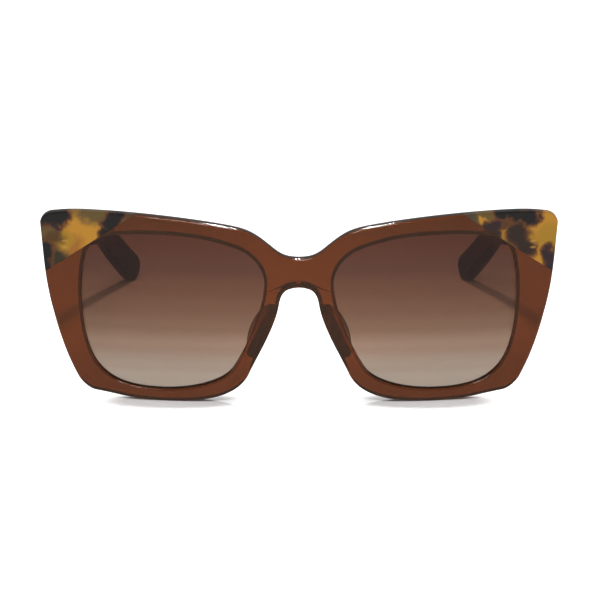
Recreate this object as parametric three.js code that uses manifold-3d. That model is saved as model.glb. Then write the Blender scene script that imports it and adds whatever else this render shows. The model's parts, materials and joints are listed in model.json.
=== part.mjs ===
// Cat eye sunglasses: an acetate front with tortoise corner inlays, two gradient lenses,
// glued nose pads, five-knuckle hinges and wire-cored temples.
// Millimetres, +Z up. The front stands on its lower rims and faces -Y, the temples run to +Y
// and touch the table with their tips. "left" is the wearer's left, which is +X.
import * as THREE from "three";
import { mergeVertices } from "three/addons/utils/BufferGeometryUtils.js";
import Module from "manifold-3d";

const wasm = await Module();
wasm.setup();

// ---- driving dimensions of the front ----
const LENS_OPENING_WIDTH = 51.8;
const LENS_OPENING_HEIGHT = 45.1;
const BRIDGE_WIDTH = 19.4; // between the two lens openings
const BROW_RIM = 5.9; // rim above the opening at its highest
const CHIN_RIM = 3.4; // rim below the opening
const NOSE_RIM = 4.2; // rim between the opening and the nose
const NOSE_FLARE = 4.5; // how far the nose side opens outward at the rim's foot
const CHEEK_RIM = 8.4; // rim outside the opening, half way up
const WING_REACH = 11.4; // how far the winged corner stands outside the opening
const FRONT_THICKNESS = 4.0;
const FACE_RADIUS = 320; // the front's curve round the face, at its outer skin

// ---- lenses ----
const LENS_THICKNESS = 1.8;
const GROOVE_DEPTH = 0.8; // how far a lens reaches into the rim
const GROOVE_CLEARANCE = 0.3;

// ---- corner inlays ----
const INLAY_START = 16.0; // where the seam meets the brow, inward from the opening's outer side
const INLAY_DROP = 12.7; // where the seam meets the wing, below the opening's top
const GLUE_GAP = 0.3;

// ---- nose pads ----
const PAD_HEIGHT = 17.0;
const PAD_DEPTH = 6.0;
const PAD_THICKNESS = 2.6;
const PAD_SPLAY = 24; // degrees that the pad opens towards the back
const PAD_BEVEL = 0.6;

// ---- hinges ----
const HINGE_DROP = 3.7; // hinge's middle below the opening's top
const HINGE_INSET = 6.4; // hinge axis inward from the wing's outer corner
const KNUCKLE_RADIUS = 1.5;
const KNUCKLE_HEIGHT = 1.1;
const KNUCKLE_GAP = 0.2;
const KNUCKLE_COUNT = 5;
const SCREW_RADIUS = 0.6;
const SCREW_CLEARANCE = 0.22;
const SCREW_HEAD_RADIUS = 1.15;
const SCREW_HEAD_HEIGHT = 0.6;
const LEAF_THICKNESS = 0.9;
const FRONT_LEAF_WIDTH = 4.4;
const TEMPLE_LEAF_LENGTH = 13.0;
const TEMPLE_LEAF_HEIGHT = 4.2;
const LEAF_STANDOFF = 0.4; // from a knuckle's skin to the face that the leaf lies in
const PRONG_WIDTH = 1.7;
const PRONG_HEIGHT = 0.6;
const PRONG_DEPTH = 1.3;
const PRONG_SPACING = 1.8;
const FIT_GAP = 0.3; // round everything that is set into acetate

// ---- temples ----
const TEMPLE_THICKNESS = 4.0;
const TEMPLE_ROOT_HEIGHT = 12.0;
const TEMPLE_SHAFT_HEIGHT = 8.6;
const TEMPLE_TIP_HEIGHT = 9.0;
const TEMPLE_BEND_REACH = 97.0; // hinge to the start of the ear bend
const TEMPLE_TAPER = 0.6; // share of that reach over which the temple slims down
const TEMPLE_SLOPE = 12.0; // degrees down towards the ear
const EAR_BEND_ANGLE = 36; // degrees below level of the tip
const EAR_BEND_RADIUS = 26;
const TEMPLE_TURN_IN = 4.0; // degrees of the shaft towards the head
const TIP_TURN_IN = 15.0; // degrees of the tip towards the head
const TURN_START = 0.4; // share of a stretch that keeps its first heading, seen from above
const STRAIGHT_PAST_LEAF = 1.0;
const BUTT_GAP = 0.35; // between the temple's end and the front, open
const CORE_THICKNESS = 1.1;
const CORE_HEIGHT = 2.2;
const CORE_TIP_MARGIN = 12.0; // acetate left beyond the wire at the tip
const CORE_LAP = 2.5; // how far the wire laps under the hinge's leaf

const ARC_STEPS = 26; // facets across the curved front
const CURVE_STEPS = 5; // points on each stretch of an outline
const ROUND_STEPS = 20; // sides of a knuckle
const SWEEP_STEPS = 30; // stations along a temple
const SKIN_MARGIN = 4; // how far a skin runs past the wing
const FAR = 60; // reach of a cutting solid past what it cuts

const radians = THREE.MathUtils.degToRad;

// ---- materials ----
const finish = (color, roughness, metalness = 0) =>
  new THREE.MeshStandardMaterial({ color, roughness, metalness });
const BROWN_ACETATE = finish(0x6b3d26, 0.12);
const TORTOISE_ACETATE = finish(0x93702c, 0.12);
const DARK_ACETATE = finish(0x2a2220, 0.15);
const PAD_ACETATE = finish(0x5e3322, 0.2);
const GRADIENT_LENS = finish(0x6f5140, 0.05);
const HINGE_METAL = finish(0xb79a63, 0.3, 1);
const CORE_METAL = finish(0x8f8f90, 0.35, 1);

// ---- solids ----
// A three.js geometry as a solid that can be joined and cut.
function solid(geometry, matrix) {
  const bare = geometry.index ? geometry.toNonIndexed() : geometry.clone();
  bare.deleteAttribute("normal");
  bare.deleteAttribute("uv");
  if (matrix) bare.applyMatrix4(matrix);
  const merged = mergeVertices(bare, 1e-4);
  return new wasm.Manifold(
    new wasm.Mesh({
      numProp: 3,
      vertProperties: merged.attributes.position.array,
      triVerts: new Uint32Array(merged.index.array),
    }),
  );
}

function meshOf(name, body, material) {
  const { vertProperties, triVerts } = body.getMesh();
  const geometry = new THREE.BufferGeometry();
  geometry.setAttribute("position", new THREE.BufferAttribute(vertProperties, 3));
  geometry.setIndex(new THREE.BufferAttribute(triVerts, 1));
  geometry.computeVertexNormals();
  const mesh = new THREE.Mesh(geometry, material);
  mesh.name = name;
  return mesh;
}

function block(low, high) {
  const size = high.clone().sub(low);
  const middle = low.clone().add(high).multiplyScalar(0.5);
  const box = new THREE.BoxGeometry(size.x, size.y, size.z);
  return solid(box, new THREE.Matrix4().setPosition(middle));
}

// An outline drawn in X and Z, extruded along Y from one y to the other.
function prismAlongY(points, fromY, toY) {
  const shape = new THREE.Shape(points.map((p) => new THREE.Vector2(p.x, p.y)));
  const options = { depth: toY - fromY, bevelEnabled: false };
  const turn = new THREE.Matrix4().makeRotationX(Math.PI / 2).setPosition(0, toY, 0);
  return solid(new THREE.ExtrudeGeometry(shape, options), turn);
}

// An outline drawn in X and Y, extruded along Z.
function prismAlongZ(points, fromZ, toZ) {
  const shape = new THREE.Shape(points);
  const options = { depth: toZ - fromZ, bevelEnabled: false };
  const lift = new THREE.Matrix4().setPosition(0, 0, fromZ);
  return solid(new THREE.ExtrudeGeometry(shape, options), lift);
}

// An outline drawn in Y and Z, extruded along X.
function prismAlongX(points, fromX, toX) {
  const shape = new THREE.Shape(points);
  const options = { depth: toX - fromX, bevelEnabled: false };
  const turn = new THREE.Matrix4().makeBasis(
    new THREE.Vector3(0, 1, 0),
    new THREE.Vector3(0, 0, 1),
    new THREE.Vector3(1, 0, 0),
  );
  return solid(new THREE.ExtrudeGeometry(shape, options), turn.setPosition(fromX, 0, 0));
}

// An upright round bar.
function barAlongZ(x, y, radius, fromZ, toZ) {
  const bar = new THREE.CylinderGeometry(radius, radius, toZ - fromZ, ROUND_STEPS);
  bar.rotateX(Math.PI / 2);
  return solid(bar, new THREE.Matrix4().setPosition(x, y, (fromZ + toZ) / 2));
}

const mirrored = (body) => body.mirror([1, 0, 0]);

// ---- outlines ----
// A smooth line through knots: each is x, z, its heading in degrees, and how far
// its handles reach before it and after it.
function smoothLine(knots, closed) {
  const points = [];
  const count = closed ? knots.length : knots.length - 1;
  for (let i = 0; i < count; i += 1) {
    const [x0, z0, heading0, , after] = knots[i];
    const [x1, z1, heading1, before] = knots[(i + 1) % knots.length];
    const start = new THREE.Vector2(x0, z0);
    const end = new THREE.Vector2(x1, z1);
    const leave = new THREE.Vector2(after, 0).rotateAround(new THREE.Vector2(), radians(heading0));
    const arrive = new THREE.Vector2(before, 0).rotateAround(new THREE.Vector2(), radians(heading1));
    const curve = new THREE.CubicBezierCurve(
      start,
      start.clone().add(leave),
      end.clone().sub(arrive),
      end,
    );
    points.push(...curve.getPoints(CURVE_STEPS).slice(0, -1));
    if (!closed && i === count - 1) points.push(end);
  }
  return points;
}

// A closed outline moved out along its normals; the outline runs clockwise.
function grown(points, distance) {
  return points.map((point, i) => {
    const before = points[(i + points.length - 1) % points.length];
    const after = points[(i + 1) % points.length];
    const along = after.clone().sub(before).normalize();
    return new THREE.Vector2(point.x - along.y * distance, point.y + along.x * distance);
  });
}

const INNER = BRIDGE_WIDTH / 2;
const OUTER = INNER + LENS_OPENING_WIDTH;
const BOTTOM = CHIN_RIM;
const TOP = BOTTOM + LENS_OPENING_HEIGHT;
// a share of the way across or up the lens opening
const across = (share) => INNER + share * LENS_OPENING_WIDTH;
const up = (share) => BOTTOM + share * LENS_OPENING_HEIGHT;

const openingKnots = [
  [across(0.627), TOP, 0, 11.2, 8.3],
  [OUTER - 1.2, up(0.856), -76.4, 5.9, 3.3],
  [OUTER, up(0.596), -90, 5.5, 5.4],
  [across(0.907), up(0.137), -130, 6.4, 6.1],
  [across(0.55), BOTTOM, 180, 9.1, 7.1],
  [across(0.168), up(0.15), 122.6, 5.7, 7.7],
  [INNER, up(0.698), 90, 7.5, 4.7],
  [across(0.154), TOP - 3.6, 19.8, 4.5, 7.6],
];
const opening = smoothLine(openingKnots, true);

const bridgeUnder = up(0.67);
const noseTop = new THREE.Vector2(INNER - NOSE_RIM, up(0.559));
const noseLow = new THREE.Vector2(INNER + NOSE_FLARE, up(0.109));
const wingX = OUTER + WING_REACH;
const halfKnots = [
  [0, up(0.856), 0, 0, 4.7],
  [INNER - 0.8, up(0.945), 38.5, 4.0, 4.3],
  [across(0.178), TOP + BROW_RIM - 3.6, 10.4, 4.8, 12.3],
  [across(0.973), TOP + BROW_RIM, 0, 12.3, 4.9],
  [wingX - 3.5, TOP + BROW_RIM - 0.7, -7, 2.6, 2.2],
  [wingX, TOP + BROW_RIM - 4.0, -95, 1.5, 8.2],
  [OUTER + CHEEK_RIM, up(0.501), -104, 9.2, 7.8],
  [OUTER + 1.4, up(0.064), -117.6, 7.7, 1.8],
  [OUTER - 3.5, BOTTOM - 1.0, -172, 1.8, 7.9],
  [across(0.527), 0, -180, 10.3, 8.6],
  [noseLow.x, noseLow.y, -244.9, 8.1, 4.7],
  [noseTop.x, noseTop.y, -261, 6.7, 2.9],
  [0, bridgeUnder, -180, 4.2, 0],
];
const halfOutline = smoothLine(halfKnots, false);
const otherHalf = halfOutline
  .slice(1, -1)
  .reverse()
  .map((p) => new THREE.Vector2(-p.x, p.y));
const outline = [...halfOutline, ...otherHalf];

// ---- the curved front ----
// How far back the face lies at x, at a depth below the outer skin.
function faceY(x, depth) {
  const radius = FACE_RADIUS - depth;
  return FACE_RADIUS - Math.sqrt(radius * radius - x * x);
}

const skinHeight = [-FAR, TOP + FAR];
const halfSpan = wingX + SKIN_MARGIN;

function curvedSkin(fromDepth, toDepth) {
  const points = [];
  for (let i = 0; i <= ARC_STEPS; i += 1) {
    const x = halfSpan * ((2 * i) / ARC_STEPS - 1);
    points.push(new THREE.Vector2(x, faceY(x, fromDepth)));
  }
  for (let i = ARC_STEPS; i >= 0; i -= 1) {
    const x = halfSpan * ((2 * i) / ARC_STEPS - 1);
    points.push(new THREE.Vector2(x, faceY(x, toDepth)));
  }
  return prismAlongZ(points, ...skinHeight);
}

const lensDepth = (FRONT_THICKNESS - LENS_THICKNESS) / 2;
const lensSkin = curvedSkin(lensDepth, lensDepth + LENS_THICKNESS);
const grooveSkin = curvedSkin(
  lensDepth - GROOVE_CLEARANCE,
  lensDepth + LENS_THICKNESS + GROOVE_CLEARANCE,
);
const lens = prismAlongY(grown(opening, GROOVE_DEPTH), -FAR, FAR).intersect(lensSkin);
const groove = prismAlongY(
  grown(opening, GROOVE_DEPTH + GROOVE_CLEARANCE),
  -FAR,
  FAR,
).intersect(grooveSkin);
const openingCutter = prismAlongY(opening, -FAR, FAR).add(groove);
const wholeFront = prismAlongY(outline, -FAR, FAR)
  .intersect(curvedSkin(0, FRONT_THICKNESS))
  .subtract(openingCutter)
  .subtract(mirrored(openingCutter));

// The seam of a corner inlay runs straight from the brow to the wing's outer side.
const seamStart = new THREE.Vector2(OUTER - INLAY_START, TOP + BROW_RIM);
const seamEnd = new THREE.Vector2(wingX, TOP - INLAY_DROP);
const seamAlong = seamEnd.clone().sub(seamStart).normalize();
const seamOut = new THREE.Vector2(-seamAlong.y, seamAlong.x);

// Everything on the corner's side of the seam, moved off it by a gap.
function cornerSide(gap) {
  const from = seamStart.clone().addScaledVector(seamAlong, -FAR).addScaledVector(seamOut, gap);
  const to = seamEnd.clone().addScaledVector(seamAlong, FAR).addScaledVector(seamOut, gap);
  const farTo = to.clone().addScaledVector(seamOut, 2 * FAR);
  const farFrom = from.clone().addScaledVector(seamOut, 2 * FAR);
  return prismAlongY([from, to, farTo, farFrom], -FAR, FAR);
}

const cornerCutter = cornerSide(-GLUE_GAP / 2);
const front = wholeFront.subtract(cornerCutter).subtract(mirrored(cornerCutter));
const inlayBlank = wholeFront.intersect(cornerSide(GLUE_GAP / 2));

// ---- hinges ----
const hingeX = wingX - HINGE_INSET;
const hingeZ = TOP - HINGE_DROP;
const leafHalfWidth = FRONT_LEAF_WIDTH / 2;
// the endpiece's back, where it stands furthest back behind the leaf
const seatY = faceY(hingeX + leafHalfWidth, FRONT_THICKNESS);
const seatNearY = faceY(hingeX - leafHalfWidth, FRONT_THICKNESS);
const hingeY = seatY + LEAF_STANDOFF + KNUCKLE_RADIUS;
const knucklePitch = KNUCKLE_HEIGHT + KNUCKLE_GAP;
const hingeHeight = KNUCKLE_COUNT * KNUCKLE_HEIGHT + (KNUCKLE_COUNT - 1) * KNUCKLE_GAP;
const hingeLow = hingeZ - hingeHeight / 2;
const boreRadius = SCREW_RADIUS + SCREW_CLEARANCE;
const templeFaceX = hingeX + KNUCKLE_RADIUS + LEAF_STANDOFF; // the temple's inner face at the hinge
const templeEndY = faceY(templeFaceX + TEMPLE_THICKNESS, FRONT_THICKNESS) + BUTT_GAP;

// Calls with the low and high z of every second knuckle from the first one given.
function knuckleLevels(first) {
  const levels = [];
  for (let i = first; i < KNUCKLE_COUNT; i += 2) {
    const low = hingeLow + i * knucklePitch;
    levels.push([low, low + KNUCKLE_HEIGHT]);
  }
  return levels;
}

const bore = barAlongZ(hingeX, hingeY, boreRadius, hingeLow - FAR, hingeLow + FAR);
const leafFrontY = seatNearY - LEAF_THICKNESS;

function frontHinge() {
  let body = block(
    new THREE.Vector3(hingeX - leafHalfWidth, leafFrontY, hingeLow),
    new THREE.Vector3(hingeX + leafHalfWidth, seatNearY, hingeLow + hingeHeight),
  );
  for (const [low, high] of knuckleLevels(0)) {
    const web = block(
      new THREE.Vector3(hingeX - KNUCKLE_RADIUS, seatNearY - LEAF_THICKNESS / 2, low),
      new THREE.Vector3(hingeX + KNUCKLE_RADIUS, hingeY, high),
    );
    body = body.add(web).add(barAlongZ(hingeX, hingeY, KNUCKLE_RADIUS, low, high));
  }
  for (const side of [-1, 1]) {
    const z = hingeZ + (side * PRONG_SPACING) / 2;
    const prong = block(
      new THREE.Vector3(hingeX - PRONG_WIDTH / 2, leafFrontY - PRONG_DEPTH, z - PRONG_HEIGHT / 2),
      new THREE.Vector3(hingeX + PRONG_WIDTH / 2, seatNearY - LEAF_THICKNESS / 2, z + PRONG_HEIGHT / 2),
    );
    body = body.add(prong);
  }
  return body.subtract(bore);
}

// The pocket in the endpiece for the leaf and its two prongs.
function frontHingePocket() {
  const pocket = block(
    new THREE.Vector3(hingeX - leafHalfWidth - FIT_GAP, leafFrontY - FIT_GAP, hingeLow - FIT_GAP),
    new THREE.Vector3(hingeX + leafHalfWidth + FIT_GAP, FAR, hingeLow + hingeHeight + FIT_GAP),
  );
  const halfPocket = PRONG_SPACING / 2 + PRONG_HEIGHT / 2 + FIT_GAP;
  const slot = block(
    new THREE.Vector3(
      hingeX - PRONG_WIDTH / 2 - FIT_GAP,
      leafFrontY - PRONG_DEPTH - FIT_GAP,
      hingeZ - halfPocket,
    ),
    new THREE.Vector3(hingeX + PRONG_WIDTH / 2 + FIT_GAP, FAR, hingeZ + halfPocket),
  );
  return pocket.add(slot);
}

const templeLeafLow = hingeZ - TEMPLE_LEAF_HEIGHT / 2;
const templeLeafHigh = hingeZ + TEMPLE_LEAF_HEIGHT / 2;
const templeLeafEndY = hingeY + TEMPLE_LEAF_LENGTH;
const leafSlope = Math.tan(radians(TEMPLE_TURN_IN));

function templeHinge() {
  let body = block(
    new THREE.Vector3(templeFaceX, hingeY - KNUCKLE_RADIUS, templeLeafLow),
    new THREE.Vector3(templeFaceX + LEAF_THICKNESS, templeLeafEndY, templeLeafHigh),
  );
  for (const [low, high] of knuckleLevels(1)) {
    const web = block(
      new THREE.Vector3(hingeX, hingeY - KNUCKLE_RADIUS, low),
      new THREE.Vector3(templeFaceX + LEAF_THICKNESS / 2, hingeY + KNUCKLE_RADIUS, high),
    );
    body = body.add(web).add(barAlongZ(hingeX, hingeY, KNUCKLE_RADIUS, low, high));
  }
  return body.subtract(bore);
}

// The recess in the temple's inner face for its leaf.
function templeHingeRecess() {
  return block(
    new THREE.Vector3(templeFaceX - FAR, hingeY - FAR, templeLeafLow - FIT_GAP),
    new THREE.Vector3(
      templeFaceX + LEAF_THICKNESS + FIT_GAP,
      templeLeafEndY + FIT_GAP,
      templeLeafHigh + FIT_GAP,
    ),
  );
}

function hingeScrew() {
  const top = hingeLow + hingeHeight + KNUCKLE_GAP;
  const shank = barAlongZ(hingeX, hingeY, SCREW_RADIUS, hingeLow, top + SCREW_HEAD_HEIGHT / 2);
  const head = barAlongZ(hingeX, hingeY, SCREW_HEAD_RADIUS, top, top + SCREW_HEAD_HEIGHT);
  const slot = block(
    new THREE.Vector3(hingeX - SCREW_HEAD_RADIUS, hingeY - 0.15, top + SCREW_HEAD_HEIGHT / 2),
    new THREE.Vector3(hingeX + SCREW_HEAD_RADIUS, hingeY + 0.15, top + 2 * SCREW_HEAD_HEIGHT),
  );
  return shank.add(head).subtract(slot);
}

// ---- temples ----
// A flat band along a curve, with its half width given at each share of its length.
function band(curve, halfWidth, steps) {
  const left = [];
  const right = [];
  for (const share of steps) {
    const point = curve.getPointAt(share);
    const along = curve.getTangentAt(share);
    const half = halfWidth(share);
    left.push(new THREE.Vector2(point.x - along.y * half, point.y + along.x * half));
    right.push(new THREE.Vector2(point.x + along.y * half, point.y - along.x * half));
  }
  return [...right, ...left.reverse()];
}

// The temple's middle line seen from the side, in Y and Z.
const tipRadius = TEMPLE_TIP_HEIGHT / 2;
const slopeDown = radians(TEMPLE_SLOPE);
const bendDown = radians(EAR_BEND_ANGLE);
const sideRoot = new THREE.Vector2(templeEndY, hingeZ + (hingeY - templeEndY) * Math.tan(slopeDown));
const shaftDirection = new THREE.Vector2(Math.cos(slopeDown), -Math.sin(slopeDown));
const tipDirection = new THREE.Vector2(Math.cos(bendDown), -Math.sin(bendDown));
const bendStart = sideRoot.clone().addScaledVector(shaftDirection, TEMPLE_BEND_REACH);
const bendCentre = new THREE.Vector2(
  bendStart.x - EAR_BEND_RADIUS * Math.sin(slopeDown),
  bendStart.y - EAR_BEND_RADIUS * Math.cos(slopeDown),
);
const bendEnd = new THREE.Vector2(
  bendCentre.x + EAR_BEND_RADIUS * Math.sin(bendDown),
  bendCentre.y + EAR_BEND_RADIUS * Math.cos(bendDown),
);
// the tip's round end rests on the table
const dropLength = (bendEnd.y - tipRadius) / Math.sin(bendDown);
const tipCentre = bendEnd.clone().addScaledVector(tipDirection, dropLength);

const sideLine = new THREE.CurvePath();
sideLine.add(new THREE.LineCurve(sideRoot, bendStart));
const bendArc = new THREE.EllipseCurve(
  bendCentre.x,
  bendCentre.y,
  EAR_BEND_RADIUS,
  EAR_BEND_RADIUS,
  Math.PI / 2 - slopeDown,
  Math.PI / 2 - bendDown,
  true,
);
sideLine.add(bendArc);
sideLine.add(new THREE.LineCurve(bendEnd, tipCentre));
const sideLength = sideLine.getLength();

// Half the temple's height along its middle line.
function templeHalfHeight(share) {
  const reach = share * sideLength;
  const toShaft = THREE.MathUtils.smoothstep(reach, 0, TEMPLE_BEND_REACH * TEMPLE_TAPER);
  const toTip = THREE.MathUtils.smoothstep(reach, TEMPLE_BEND_REACH, sideLength);
  const shaft = THREE.MathUtils.lerp(TEMPLE_ROOT_HEIGHT, TEMPLE_SHAFT_HEIGHT, toShaft);
  return THREE.MathUtils.lerp(shaft, TEMPLE_TIP_HEIGHT, toTip) / 2;
}

// The temple's middle line seen from above, in X and Y: straight along the leaf, then in.
const templeMiddleX = templeFaceX + TEMPLE_THICKNESS / 2;
const tipEndY = tipCentre.x + tipRadius;
const straightEnd = new THREE.Vector2(templeMiddleX, templeLeafEndY + STRAIGHT_PAST_LEAF);
const earY = bendStart.x;
const earX = templeMiddleX - (earY - straightEnd.y) * leafSlope;
const earPoint = new THREE.Vector2(earX, earY);
const tipX = earX - (tipEndY - earY) * Math.tan(radians(TIP_TURN_IN));
const planLine = new THREE.CurvePath();
planLine.add(new THREE.LineCurve(new THREE.Vector2(templeMiddleX, templeEndY), straightEnd));
planLine.add(
  new THREE.QuadraticBezierCurve(
    straightEnd,
    new THREE.Vector2(templeMiddleX, straightEnd.y + (earY - straightEnd.y) * TURN_START),
    earPoint,
  ),
);
const tipLean = (earX - templeMiddleX) / ((earY - straightEnd.y) * (1 - TURN_START));
planLine.add(
  new THREE.QuadraticBezierCurve(
    earPoint,
    new THREE.Vector2(
      earX + tipLean * (tipEndY - earY) * TURN_START,
      earY + (tipEndY - earY) * TURN_START,
    ),
    new THREE.Vector2(tipX, tipEndY),
  ),
);

const evenSteps = (count, from = 0, to = 1) =>
  Array.from({ length: count + 1 }, (_, i) => from + ((to - from) * i) / count);

// A solid that follows both middle lines, between two shares of the side line.
function templeSweep(halfHeight, halfThickness, from, to, roundEnd) {
  const side = band(sideLine, halfHeight, evenSteps(SWEEP_STEPS, from, to));
  if (roundEnd) side.splice(SWEEP_STEPS + 1, 0, ...tipRound());
  const plan = band(planLine, () => halfThickness, evenSteps(SWEEP_STEPS));
  return prismAlongX(side, -FAR, 2 * FAR).intersect(prismAlongZ(plan, -FAR, 2 * FAR));
}

// The half circle that closes the tip, from below to above, without its two ends.
function tipRound() {
  const points = [];
  const steps = 8;
  for (let i = 1; i < steps; i += 1) {
    const angle = -Math.PI / 2 - bendDown + (Math.PI * i) / steps;
    points.push(
      new THREE.Vector2(
        tipCentre.x + tipRadius * Math.cos(angle),
        tipCentre.y + tipRadius * Math.sin(angle),
      ),
    );
  }
  return points;
}

const coreFrom = (templeLeafEndY - CORE_LAP - templeEndY) / sideLength;
const coreTo = 1 - CORE_TIP_MARGIN / sideLength;
const channelMargin = FIT_GAP / sideLength;
const coreHalfHeight = CORE_HEIGHT / 2;
const coreHalfThickness = CORE_THICKNESS / 2;
const core = templeSweep(() => coreHalfHeight, coreHalfThickness, coreFrom, coreTo, false);
const channel = templeSweep(
  () => coreHalfHeight + FIT_GAP,
  coreHalfThickness + FIT_GAP,
  coreFrom - channelMargin,
  coreTo + channelMargin,
  false,
);
const temple = templeSweep(templeHalfHeight, TEMPLE_THICKNESS / 2, 0, 1, true)
  .subtract(templeHingeRecess())
  .subtract(channel);

// ---- nose pads ----
// A pad is a rounded fin behind the rim's nose side, opening outward towards the back.
const padLowZ = up(0.2);
const noseLean = Math.atan2(noseLow.x - noseTop.x, noseTop.y - noseLow.y);

function nosePad() {
  const half = PAD_HEIGHT / 2;
  const root = PAD_DEPTH; // the blank runs forward into the front and is cut back to its face
  const outlineOfPad = new THREE.Shape();
  outlineOfPad.moveTo(-root, -half);
  outlineOfPad.lineTo(0, -half);
  outlineOfPad.bezierCurveTo(PAD_DEPTH * 0.9, -half, PAD_DEPTH, -half * 0.4, PAD_DEPTH, -half * 0.1);
  outlineOfPad.bezierCurveTo(PAD_DEPTH, half * 0.5, PAD_DEPTH * 0.5, half * 0.9, 0, half);
  outlineOfPad.lineTo(-root, half);
  outlineOfPad.closePath();
  const fin = new THREE.ExtrudeGeometry(outlineOfPad, {
    depth: PAD_THICKNESS - 2 * PAD_BEVEL,
    bevelEnabled: true,
    bevelThickness: PAD_BEVEL,
    bevelSize: PAD_BEVEL,
    bevelOffset: -PAD_BEVEL,
    bevelSegments: 2,
    curveSegments: CURVE_STEPS,
  });
  // the outline's first axis turns to +Y and its second to +Z, its thickness to +X
  const stand = new THREE.Matrix4().makeBasis(
    new THREE.Vector3(0, 1, 0),
    new THREE.Vector3(0, 0, 1),
    new THREE.Vector3(1, 0, 0),
  );
  const splay = new THREE.Matrix4().makeRotationZ(-radians(PAD_SPLAY));
  const lean = new THREE.Matrix4().makeRotationY(-noseLean);
  const padMiddleZ = padLowZ + half * Math.cos(noseLean);
  const share = (noseTop.y - padMiddleZ) / (noseTop.y - noseLow.y);
  const padMiddleX = THREE.MathUtils.lerp(noseTop.x, noseLow.x, share) + PAD_BEVEL;
  const seat = faceY(padMiddleX, FRONT_THICKNESS);
  const place = new THREE.Matrix4().setPosition(padMiddleX, seat, padMiddleZ);
  const blank = solid(fin, place.multiply(lean).multiply(splay).multiply(stand));
  return blank.subtract(curvedSkin(-FAR, FRONT_THICKNESS + GLUE_GAP));
}

const inlay = inlayBlank.subtract(frontHingePocket());

// ---- assembly ----
const model = new THREE.Group();
model.add(meshOf("front", front, BROWN_ACETATE));

const pairs = [
  ["corner_inlay", inlay, TORTOISE_ACETATE],
  ["lens", lens, GRADIENT_LENS],
  ["nose_pad", nosePad(), PAD_ACETATE],
  ["front_hinge", frontHinge(), HINGE_METAL],
  ["temple_hinge", templeHinge(), HINGE_METAL],
  ["hinge_screw", hingeScrew(), HINGE_METAL],
  ["temple", temple, DARK_ACETATE],
  ["temple_core", core, CORE_METAL],
];
for (const [name, body, material] of pairs) {
  model.add(meshOf(`${name}_left`, body, material));
  model.add(meshOf(`${name}_right`, mirrored(body), material));
}

// the origin lies on the table, under the middle of the whole pair
const box = new THREE.Box3().setFromObject(model);
model.position.y = -(box.min.y + box.max.y) / 2;

export default model;
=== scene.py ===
# %% [markdown]
# # Cat eye sunglasses in acetate
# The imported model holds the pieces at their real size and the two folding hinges.
# This lesson gives each visible piece its smooth, polished shape and its finish.
# Lengths are written in millimetres and turned to metres when a mesh is finished.

# %% Load the fixed frame
import json
import math

import bmesh
import bpy
import numpy as np
from mathutils import Matrix, Vector
from mathutils.geometry import interpolate_bezier


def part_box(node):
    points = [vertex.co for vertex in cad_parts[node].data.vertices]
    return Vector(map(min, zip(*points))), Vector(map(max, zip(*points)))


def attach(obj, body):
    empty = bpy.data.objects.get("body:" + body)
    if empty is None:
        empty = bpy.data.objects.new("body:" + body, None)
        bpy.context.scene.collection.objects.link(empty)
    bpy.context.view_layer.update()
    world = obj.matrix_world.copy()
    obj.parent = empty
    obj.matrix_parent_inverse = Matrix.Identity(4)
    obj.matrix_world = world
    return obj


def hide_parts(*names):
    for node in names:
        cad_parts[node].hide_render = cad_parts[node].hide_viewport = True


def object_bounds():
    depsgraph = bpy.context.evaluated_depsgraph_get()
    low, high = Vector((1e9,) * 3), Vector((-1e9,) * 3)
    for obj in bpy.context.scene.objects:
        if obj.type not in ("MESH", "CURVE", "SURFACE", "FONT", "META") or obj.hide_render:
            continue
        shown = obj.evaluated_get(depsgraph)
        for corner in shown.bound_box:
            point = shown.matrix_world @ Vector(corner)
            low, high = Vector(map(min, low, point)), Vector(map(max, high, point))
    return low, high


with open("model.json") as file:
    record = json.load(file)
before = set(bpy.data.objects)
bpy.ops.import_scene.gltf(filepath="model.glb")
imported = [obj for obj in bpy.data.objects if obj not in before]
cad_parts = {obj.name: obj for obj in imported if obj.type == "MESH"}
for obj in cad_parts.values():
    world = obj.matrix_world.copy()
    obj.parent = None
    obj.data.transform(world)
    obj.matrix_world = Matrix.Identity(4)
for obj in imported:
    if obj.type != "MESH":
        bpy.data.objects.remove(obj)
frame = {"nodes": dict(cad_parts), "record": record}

MM = 0.001
cad_low, cad_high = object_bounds()
print("CAD box in mm:", [round(v / MM, 1) for v in (*cad_low, *cad_high)])

# %% [markdown]
# ## The camera
# Product pictures of eyewear are taken with a long lens, a little above the table, so that
# the front stays undistorted and the temples shrink behind it.
# The camera looks at the middle of the front from 700 mm away, 15 degrees above the horizon.

# %% Make the camera
CAMERA_DISTANCE = 0.700
CAMERA_ELEVATION = math.radians(15)
AIM_HEIGHT = 0.0303
aim = Vector((0, cad_low.y, AIM_HEIGHT))
back = Vector((0, -math.cos(CAMERA_ELEVATION), math.sin(CAMERA_ELEVATION)))
camera = bpy.data.objects.new("camera", bpy.data.cameras.new("camera"))
camera.data.lens = 149.9
camera.data.sensor_width = 36
camera.data.shift_x = 0.0017
camera.location = aim + back * CAMERA_DISTANCE
camera.rotation_euler = (-back).to_track_quat("-Z", "Y").to_euler()
bpy.context.scene.collection.objects.link(camera)
bpy.context.scene.camera = camera
bpy.context.scene.view_settings.view_transform = "Standard"
print("camera at", [round(v, 3) for v in camera.location])

# %% [markdown]
# ## Colours and nodes
# Hex colours are written as the eye sees them on a screen, and a shader wants them linear,
# so one function turns them. Another adds any node with its settings and its links, which
# keeps each material short enough to read.

# %% Helpers for materials
def colour(hex_code):
    """An sRGB hex colour as linear red, green, blue and alpha."""
    channels = [int(hex_code[i : i + 2], 16) / 255 for i in (1, 3, 5)]
    linear = [c / 12.92 if c <= 0.04045 else ((c + 0.055) / 1.055) ** 2.4 for c in channels]
    return (*linear, 1)


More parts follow.
